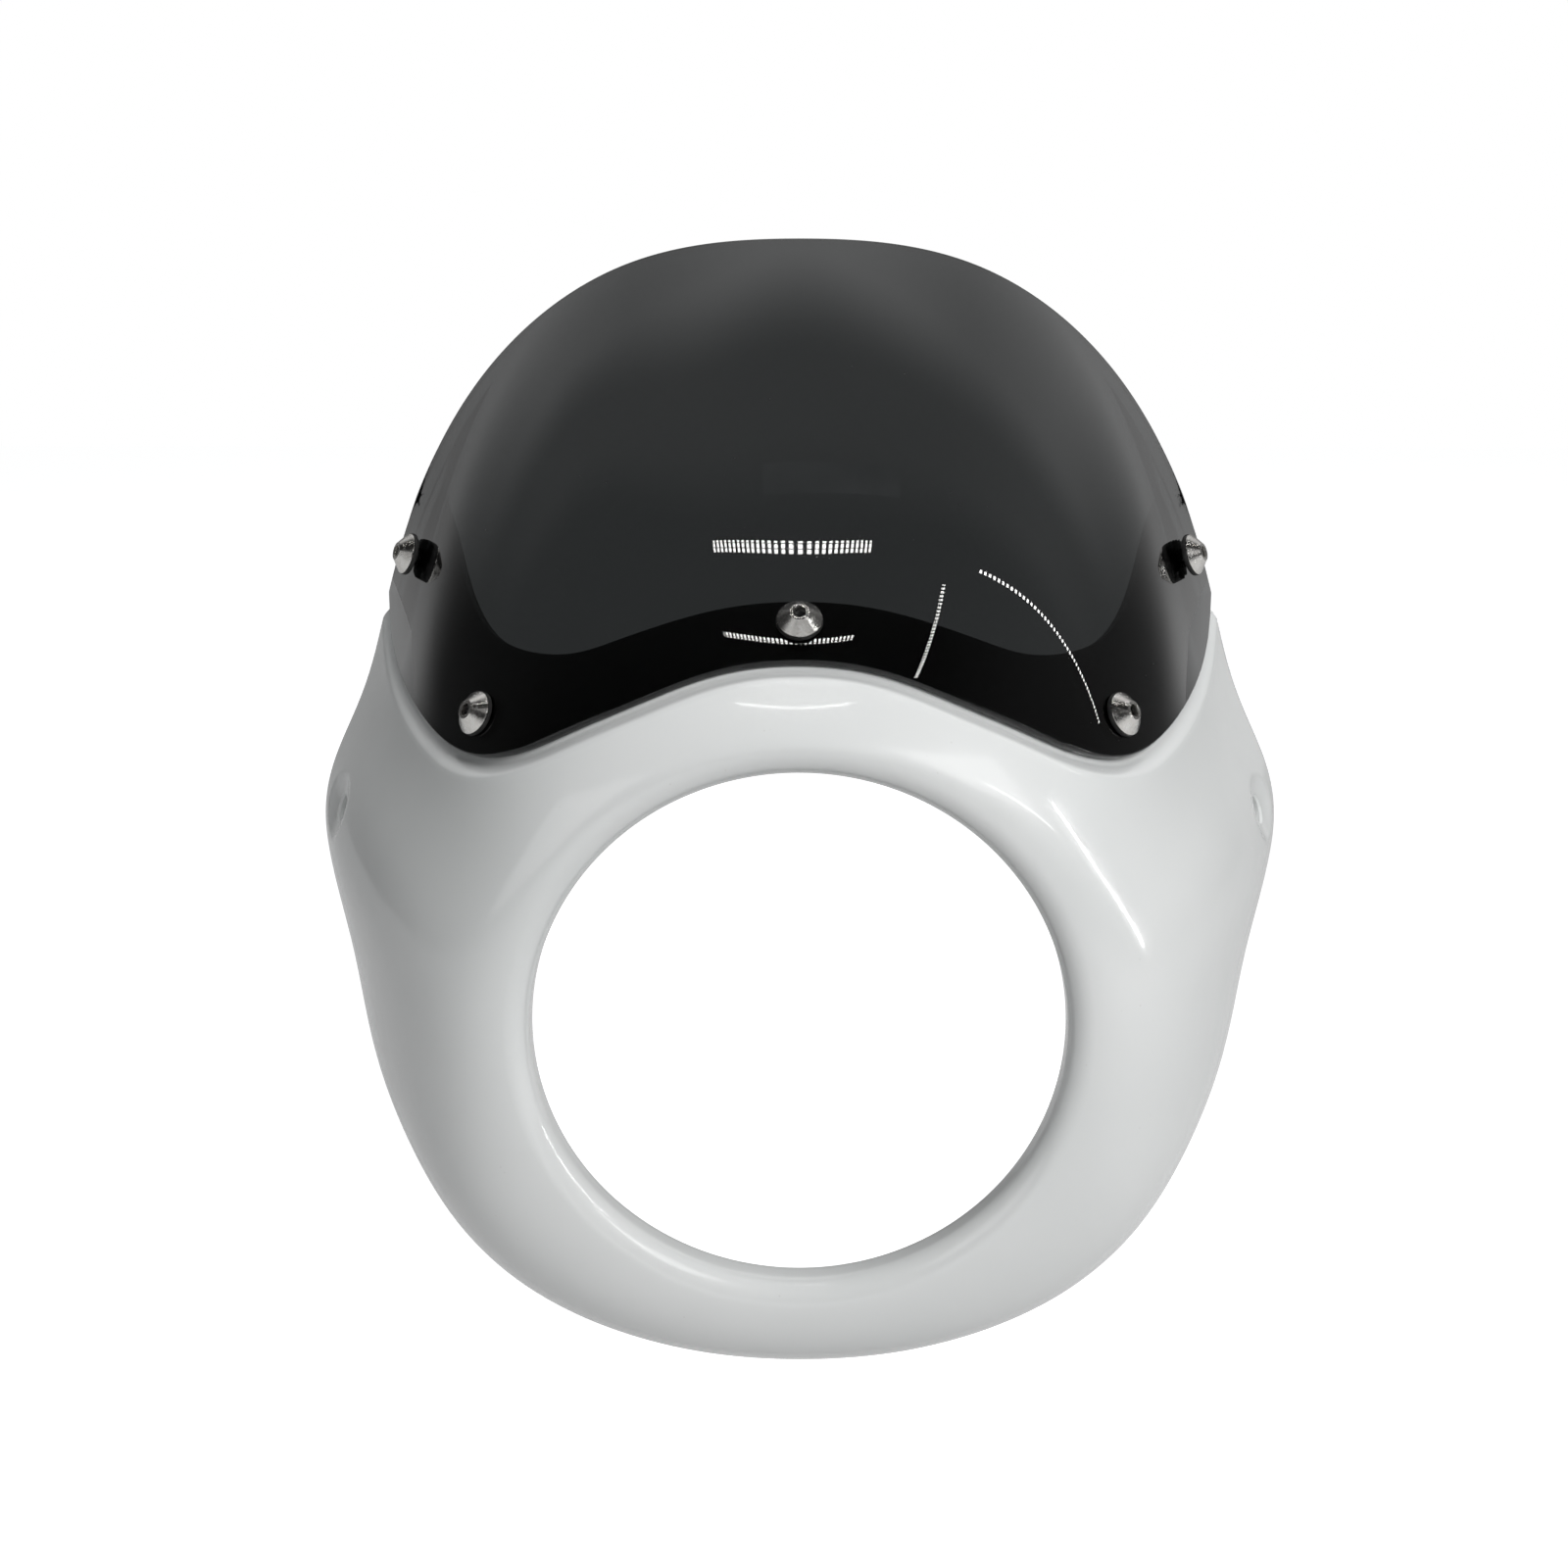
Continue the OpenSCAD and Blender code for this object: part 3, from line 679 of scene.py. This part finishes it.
class Finish:
    """A material and the nodes that make it."""

    def __init__(self, name):
        self.material = bpy.data.materials.new(name)
        self.material.use_nodes = True
        self.tree = self.material.node_tree
        self.tree.nodes.clear()
        self.count = 0

    def node(self, kind, settings=None, sockets=None, out=0):
        made = self.tree.nodes.new(kind)
        made.location = (self.count * 180 - 1800, -(self.count % 5) * 160)
        self.count += 1
        for key, value in (settings or {}).items():
            if key == "stops":
                ramp = made.color_ramp.elements
                while len(ramp) < len(value):
                    ramp.new(0.5)
                for stop, (place, colour) in zip(ramp, value):
                    stop.position = place
                    stop.color = (*colour, 1)
            else:
                setattr(made, key, value)
        for key, value in (sockets or {}).items():
            socket = made.inputs[key]
            if isinstance(value, Wire):
                self.tree.links.new(value.socket, socket)
            else:
                socket.default_value = value
        return Wire(self, made.outputs[out])

    def noise(self, scale, detail=2.0, rough=0.5, stretch=None, bend=0.0):
        """A soft random pattern. Scale is in waves per metre."""
        place = self.node("ShaderNodeTexCoord", out="Object")
        if stretch:
            place = self.node("ShaderNodeMapping", {}, {"Vector": place, "Scale": stretch})
        return self.node("ShaderNodeTexNoise", {}, {
            "Vector": place, "Scale": scale, "Detail": detail, "Roughness": rough,
            "Distortion": bend})

    def blend_colour(self, share, first, second):
        """A mix of two colours, or of a wire and a colour."""
        ends = [c if isinstance(c, Wire) else (*c, 1) for c in (first, second)]
        return self.node("ShaderNodeMix", {"data_type": "RGBA"},
                         {0: share, 6: ends[0], 7: ends[1]}, out=2)

    def bump(self, height, distance, strength):
        return self.node("ShaderNodeBump", {}, {
            "Height": height, "Distance": distance, "Strength": strength})

    def emission(self, colour, strength):
        return self.node("ShaderNodeEmission", {}, {"Color": (*colour, 1), "Strength": strength})

    def split(self, vector):
        """The X, Y and Z of a vector."""
        parts = self.node("ShaderNodeSeparateXYZ", {}, {0: vector}).socket.node.outputs
        return [Wire(self, parts[axis]) for axis in "XYZ"]

    def ray(self, kind):
        """1 for light paths of one kind, such as Camera or Glossy, and 0 for the rest."""
        return self.node("ShaderNodeLightPath", out=f"Is {kind} Ray")

    def surface(self, sockets):
        self.node_out(self.node("ShaderNodeBsdfPrincipled", {}, sockets))
        return self.material

    def node_out(self, body, kind="ShaderNodeOutputMaterial"):
        end = self.tree.nodes.new(kind)
        self.tree.links.new(body.socket, end.inputs["Surface"])

print("finish tools ready")

# %% [markdown]
# ## White gloss shell
#
# The shell is moulded in white and lacquered, so it has a clear coat that is almost
# a mirror, over a white that is never quite even. The coat waves very slightly, which
# bends long reflections. A little dust and handling show only in the gloss.

# %% White moulding, outside and inside
def dust(finish, scale, size, low):
    """Small scattered spots, 1 on a spot and 0 elsewhere. A higher low leaves fewer."""
    place = finish.node("ShaderNodeTexCoord", out="Object")
    spots = finish.node("ShaderNodeTexVoronoi", {"feature": "F1"}, {
        "Vector": place, "Scale": scale, "Randomness": 1.0})
    some = finish.noise(scale * 0.35, 1.0)
    return (1 - spots.over(size * 0.4, size)) * some.over(0.52 + low, 0.6 + low)

def white_outside():
    f = Finish("white_gloss")
    cloud = f.noise(9.0, 3.0)
    haze = f.noise(60.0, 4.0, 0.6)
    specks = dust(f, 260.0, 0.09, 0.03)
    colour = f.blend_colour(cloud.over(0.3, 0.7), (0.70, 0.715, 0.71), (0.755, 0.765, 0.76))
    colour = f.blend_colour(specks * 0.35, colour, (0.42, 0.41, 0.39))
    waves = f.noise(170.0, 2.0, 0.45)
    rough = 0.16 + 0.10 * haze.over(0.35, 0.75) + 0.2 * specks
    return f.surface({
        "Base Color": colour, "Roughness": rough, "IOR": 1.5, "Coat Weight": 0.7,
        "Coat Roughness": 0.035, "Normal": f.bump(waves, 0.00006, 0.35)})

def white_inside():
    f = Finish("white_satin_inside")
    cloud = f.noise(14.0, 3.0)
    grain = f.noise(900.0, 3.0, 0.6)
    flow = f.noise(30.0, 3.0, 0.6, (1.0, 1.0, 4.0), 0.6)
    colour = f.blend_colour(cloud.over(0.3, 0.7), (0.66, 0.67, 0.665), (0.72, 0.73, 0.725))
    rough = 0.42 + 0.14 * flow.over(0.35, 0.7)
    return f.surface({
        "Base Color": colour, "Roughness": rough, "Normal": f.bump(grain + 2 * flow, 0.00005, 0.5)})

# %% [markdown]
# ## Smoked sheet
#
# Light goes through the sheet and loses most of itself on the way, so its colour is
# set as a very dark cool grey and its transmission is full. Hairline wiping marks
# and a few specks of dust lie on the polish.

# %% Smoked clear plastic
def smoked():
    f = Finish("smoked_clear")
    cloud = f.noise(11.0, 2.0)
    wipe = f.noise(55.0, 5.0, 0.7, (1.0, 1.0, 7.0), 0.4)
    specks = dust(f, 210.0, 0.06, 0.05)
    colour = f.blend_colour(
        cloud.over(0.3, 0.7), (0.0205, 0.0222, 0.0226), (0.0228, 0.0244, 0.0248))
    rough = 0.012 + 0.05 * wipe.over(0.6, 0.85) + 0.4 * specks
    waves = f.noise(25.0, 1.0)
    return f.surface({
        "Base Color": colour, "Roughness": rough, "IOR": 1.5, "Transmission Weight": 1.0,
        "Specular IOR Level": 0.5, "Normal": f.bump(waves, 0.00005, 0.25)})

# %% [markdown]
# ## Turned screws, rubber and zinc
#
# A turned cone shows fine rings, so a fan of light turns with the lamp. The rings are
# a wave of the distance from the screw's own axis. The rubber is dull with a faint
# bloom, and the zinc on the nuts is bright but uneven.

# %% Metals and rubber
RING_PITCH = 0.00016

def from_axis(f):
    """Distance from the axis that a small part was turned round, in metres."""
    place = f.node("ShaderNodeTexCoord", out="Object")
    flat = f.node("ShaderNodeVectorMath", {"operation": "MULTIPLY"}, {0: place, 1: (1, 1, 0)})
    return f.node("ShaderNodeVectorMath", {"operation": "LENGTH"}, {0: flat}, out="Value")

def turned_steel():
    f = Finish("turned_stainless")
    phase = from_axis(f) * (2 * math.pi / RING_PITCH)
    rings = f.node("ShaderNodeMath", {"operation": "SINE"}, {0: phase})
    uneven = f.noise(2600.0, 2.0)
    stain = f.noise(500.0, 3.0)
    colour = f.blend_colour(stain.over(0.35, 0.7), (0.60, 0.585, 0.56), (0.70, 0.69, 0.67))
    return f.surface({
        "Base Color": colour, "Metallic": 1.0, "Roughness": 0.2 + 0.14 * stain.over(0.4, 0.75),
        "Normal": f.bump(rings * uneven, 0.00002, 0.6)})

def zinc():
    f = Finish("bright_zinc")
    cloud = f.noise(700.0, 3.0)
    fine = f.noise(5200.0, 2.0)
    colour = f.blend_colour(cloud.over(0.35, 0.7), (0.56, 0.57, 0.60), (0.68, 0.68, 0.68))
    return f.surface({
        "Base Color": colour, "Metallic": 1.0, "Roughness": 0.28 + 0.15 * cloud.over(0.3, 0.7),
        "Normal": f.bump(fine, 0.00002, 0.4)})

def rubber():
    f = Finish("black_rubber")
    bloom = f.noise(420.0, 3.0)
    grain = f.noise(6000.0, 2.0)
    colour = f.blend_colour(bloom.over(0.45, 0.8), (0.012, 0.012, 0.012), (0.03, 0.03, 0.029))
    return f.surface({
        "Base Color": colour, "Roughness": 0.55 + 0.2 * bloom,
        "Normal": f.bump(grain, 0.00002, 0.5)})

white_out, white_in, smoke, steel, zinc_plate, black_rubber = (
    white_outside(), white_inside(), smoked(), turned_steel(), zinc(), rubber())
print("finishes:", [m.name for m in (white_out, white_in, smoke, steel, zinc_plate, black_rubber)])

# %% [markdown]
# ## Put the pieces on the frame
#
# Every piece rides on the one body and stands for its CAD node. The small parts keep
# their mesh in their own axes and only their object is turned, so the rings of the
# turned finish stay round each screw.

# %% Place, dress and name
def dress(piece, node, slot, *materials):
    for m in materials:
        piece.data.materials.append(m)
    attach(piece, "root")
    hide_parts(node)

dress(shell, "cowl_shell", "white_shell", white_out, white_in)
dress(sheet, "windscreen", "smoked_screen", smoke)
for name, place in PLACES.items():
    for kind, mesh, slot, finish in (
            ("screw", screw_mesh, "stainless_screw", steel),
            ("rubber_washer", rubber_mesh, "black_rubber", black_rubber),
            ("plain_washer", washer_mesh, "zinc_steel", zinc_plate),
            ("nut", nut_mesh, "zinc_steel", zinc_plate)):
        piece = bpy.data.objects.new(f"turned_{kind}_{name}", mesh.copy())
        bpy.context.scene.collection.objects.link(piece)
        piece.matrix_world = stand_matrix(place)
        dress(piece, f"{kind}_{name}", slot, finish)
print("pieces placed:", 2 + 4 * len(PLACES))

# %% [markdown]
# ## Studio floor
#
# The photograph has a white ground. More light would give one, but it would burn out
# the white shell too. So the floor is white only to the camera and to light that has
# come through the sheet, which a Light Path node can tell. Its own colour is a pale
# grey, which takes the shadow of the cowl.

# %% Floor
WHITE = (1, 1, 1)
FLOOR_DROP = 0.16

def white_ground():
    f = Finish("pale_floor")
    colour = f.blend_colour(f.noise(3.0, 2.0), (0.60, 0.60, 0.60), (0.62, 0.62, 0.62))
    plain = f.node("ShaderNodeBsdfPrincipled", {}, {
        "Base Color": colour, "Roughness": 0.9, "Specular IOR Level": 0.1})
    seen = f.ray("Camera") * 0.9 + f.ray("Glossy") * 0.3
    lit = f.node("ShaderNodeAddShader", {}, {0: plain, 1: f.emission(WHITE, seen)})
    even = f.emission(WHITE, 1.0)
    f.node_out(f.node("ShaderNodeMixShader", {}, {0: f.ray("Transmission"), 1: lit, 2: even}))
    return f.material

floor_z = float(face_at(270.0, 1.0)[2]) * 0.001 - FLOOR_DROP
bpy.ops.mesh.primitive_plane_add(size=8, location=(0, 0, floor_z))
floor = bpy.context.object
floor.name = "studio_floor"
floor.data.materials.append(white_ground())
print("floor at", round(floor_z, 3))

# %% [markdown]
# ## The room round the cowl
#
# The world is white to the camera and through the sheet, like the floor, and soft and
# dim as a light. A dark glossy sheet shows whatever hangs over it, and white all round
# would turn it grey. A photographer hangs black cards there. Here the gloss gets a dim
# room of its own, made of soft steps in the direction of a ray: back is towards the
# rider, across is to the right and high is up.

# %% World
class Sky(Finish):
    """The same tools, on the nodes of a world."""

    def __init__(self, name):
        self.world = bpy.data.worlds.new(name)
        self.world.use_nodes = True
        self.tree = self.world.node_tree
        self.tree.nodes.clear()
        self.count = 0

    def backdrop(self, colour, strength):
        return self.node("ShaderNodeBackground", {}, {"Color": (*colour, 1), "Strength": strength})

    def choose(self, share, first, second):
        return self.node("ShaderNodeMixShader", {}, {0: share, 1: first, 2: second})

sky = Sky("studio")
across, back, high = sky.split(sky.node("ShaderNodeTexCoord", out="Generated"))
beside = sky.node("ShaderNodeMath", {"operation": "ABSOLUTE"}, {0: across})
leaned = back - 0.12 * (0 - across).over(0.1, 0.5)
ceiling = 0.14 * leaned.over(0.02, 0.14)
ceiling = ceiling + 0.85 * leaned.over(0.22, 0.38) * (1 - 0.6 * beside.over(0.05, 0.35))
ceiling = ceiling * (1 - beside.over(0.5, 0.85)) * (1 + 0.25 * across)
ceiling = ceiling * (1 - 0.75 * back.over(0.74, 0.92))
walls = 0.02 + 0.03 * back.over(-0.3, 0.1) + 0.09 * across.over(0.2, 0.7)
ground = 0.25 * (1 - high.over(-0.3, 0.1))
soft = sky.backdrop((0.95, 0.98, 1.0), 0.13)
gloss = sky.backdrop(WHITE, walls + ceiling + ground)
direct = sky.ray("Camera") + sky.ray("Transmission")
shown = sky.choose(direct, sky.choose(sky.ray("Glossy"), soft, gloss), sky.backdrop(WHITE, 1.0))
sky.node_out(shown, "ShaderNodeOutputWorld")
bpy.context.scene.world = sky.world
print("world nodes:", len(sky.tree.nodes))

# %% [markdown]
# ## Soft lamps
#
# Three big soft lamps shape the white shell: a key from the upper right, a weak fill
# from the left and one overhead. They are kept out of the gloss, or they would stand
# in the dark sheet as big white boards.

# %% Key, fill and top lamp
def lamp(name, place, aim_at, size, power):
    data = bpy.data.lights.new(name, "AREA")
    data.shape = "RECTANGLE"
    data.size, data.size_y = size
    data.energy = power
    item = bpy.data.objects.new(name, data)
    item.location = place
    item.rotation_euler = (Vector(aim_at) - Vector(place)).to_track_quat("-Z", "Y").to_euler()
    item.visible_glossy = False
    item.visible_transmission = False
    bpy.context.scene.collection.objects.link(item)

lamp("key", (0.95, -1.2, 1.15), (0, 0.05, 0.05), (1.0, 0.8), 26)
lamp("fill", (-0.5, -1.6, 0.35), (0, 0.05, 0.0), (1.2, 1.0), 2.6)
lamp("top", (0.1, -0.1, 1.6), (0, 0.05, 0.05), (1.4, 0.8), 8)
print("lamps:", len(bpy.data.lights))

# %% [markdown]
# ## Things that only the gloss can see
#
# What shines in the photograph's sheet are rows of small diodes on a ceiling and one
# dim window, and the lacquer shows long soft panels and two tube lamps. Each of them
# is a flat board that glows and that only reflections can see, so it adds no light of
# its own. The diodes are dots that a pattern cuts out of the glow.

# %% Boards
def board(name, start, end, width, material, side=(0, 0, 1)):
    """A flat board between two points, its X axis along its length."""
    start, end = Vector(start), Vector(end)
    along = (end - start).normalized()
    over = Vector(side).cross(along).normalized()
    half, rise = (end - start).length / 2, width / 2
    mesh = bpy.data.meshes.new(name)
    corners = [(-half, -rise, 0), (half, -rise, 0), (half, rise, 0), (-half, rise, 0)]
    mesh.from_pydata(corners, [], [[0, 1, 2, 3]])
    mesh.materials.append(material)
    piece = bpy.data.objects.new(name, mesh)
    bpy.context.scene.collection.objects.link(piece)
    turn = Matrix([along, over, along.cross(over)]).transposed().to_4x4()
    piece.matrix_world = Matrix.Translation((start + end) / 2) @ turn
    piece.visible_camera = piece.visible_diffuse = False
    piece.visible_transmission = piece.visible_shadow = False

# %% Rows of diodes
CEILING = 2.0
DIODE_PITCH, LINE_PITCH, DIODE_GLOW = 0.015, 0.014, 30.0

def diode_row():
    f = Finish("diode_row")
    x, y, z = f.split(f.node("ShaderNodeTexCoord", out="Object"))

    def lit(value, pitch, share):
        part = f.node("ShaderNodeMath", {"operation": "FRACT"}, {0: value * (1 / pitch)})
        return f.node("ShaderNodeMath", {"operation": "LESS_THAN"}, {0: part, 1: share})

    dots = lit(x, DIODE_PITCH, 0.5) * lit(y + 0.03, LINE_PITCH, 0.8)
    f.node_out(f.emission((1.0, 0.99, 0.97), dots * DIODE_GLOW))
    return f.material

diodes = diode_row()
rows = (("row_back", (-0.25, 0.045, CEILING), (0.185, 0.045, CEILING), 0.034),
        ("row_middle", (-0.28, -0.25, CEILING), (0.19, -0.25, CEILING), 0.02),
        ("row_front", (-0.32, -0.52, CEILING), (0.25, -0.50, CEILING), 0.02),
        ("row_right", (0.56, -0.06, CEILING), (0.59, -0.5, CEILING), 0.02),
        ("row_near", (0.34, 0.035, 0.88), (0.84, 0.055, 0.45), 0.009))
for name, start, end, width in rows:
    board(name, start, end, width, diodes)
print("diode rows:", len(rows))

# %% Window, panels and tube lamps
def uneven_glow(name, low, gain, scale, detail, colour=WHITE):
    """A glow that wanders from low to low + gain."""
    f = Finish(name)
    f.node_out(f.emission(colour, low + gain * f.noise(scale, detail)))
    return f.material

window_glow = uneven_glow("dim_window", 0.04, 0.3, 6.0, 2.0, (0.96, 0.98, 1.0))
board("window", (-0.07, 0.215, CEILING), (0.28, 0.225, CEILING), 0.075, window_glow)
panels = (("card_right", (0.75, -1.5, 1.1), (1.35, -1.0, 1.1), 0.8, 1.2),
          ("card_left", (-1.5, -0.9, 0.5), (-0.8, -1.5, 0.5), 0.9, 0.8),
          ("tube_lamp_near", (1.0, -1.25, 0.95), (1.35, -0.95, 0.6), 0.04, 9.0),
          ("tube_lamp_side", (1.45, -0.42, -0.02), (1.4, -0.6, 0.8), 0.05, 26.0))
for name, start, end, width, strength in panels:
    glow = uneven_glow(name, 0.85 * strength, 0.3 * strength, 3.0, 1.0)
    board(name, start, end, width, glow, side=(Vector(start) + Vector(end)) / 2)
print("panels and tube lamps:", len(panels))
